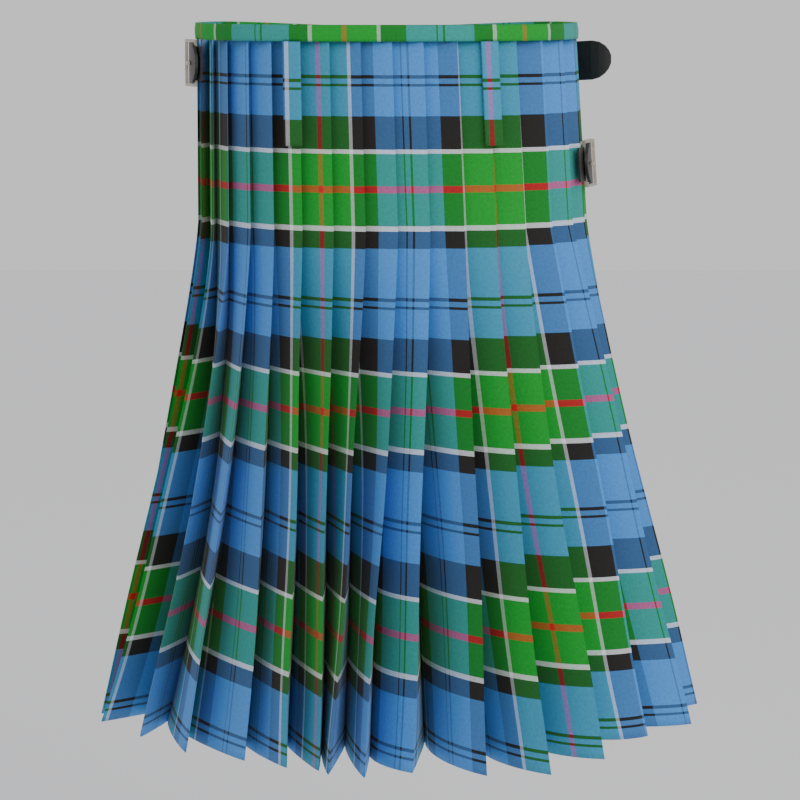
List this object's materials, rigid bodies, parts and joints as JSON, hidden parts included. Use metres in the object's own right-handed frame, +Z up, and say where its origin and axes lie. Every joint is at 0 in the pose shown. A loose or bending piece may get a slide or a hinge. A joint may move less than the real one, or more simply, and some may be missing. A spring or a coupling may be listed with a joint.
{
  "type": "scottish kilt",
  "caption": "Knee-length wrap skirt of checked wool cloth, filled out as when worn, with knife pleats round the back, a flat front, a narrow waistband and leather straps with buckles.",
  "frame": {"origin": "centre of the waist, level with the top edge of the waistband at the back, where the wearer's waist holds the kilt", "axes": "+Z up; the pleated back faces -Y and the aprons +Y; +X is the wearer's right"},
  "size_m": [0.5035, 0.3606, 0.572],
  "materials": {
    "tartan": "brushed twill, matte",
    "leather": "smooth, satin",
    "metal": "aged, satin"
  },
  "bodies": {
    "root": {"pleated_back": "tartan", "over_apron": "tartan", "under_apron": "tartan", "waistband_back": "tartan", "waistband_over_apron": "tartan", "waistband_under_apron": "tartan", "belt_loop_left": "tartan", "belt_loop_right": "tartan", "strap_left_waist": "leather", "chape_left_waist": "leather", "buckle_left_waist": "metal", "prong_left_waist": "metal", "strap_right_waist": "leather", "chape_right_waist": "leather", "buckle_right_waist": "metal", "prong_right_waist": "metal", "strap_right_hip": "leather", "chape_right_hip": "leather", "buckle_right_hip": "metal", "prong_right_hip": "metal"}
  },
  "joints": []
}
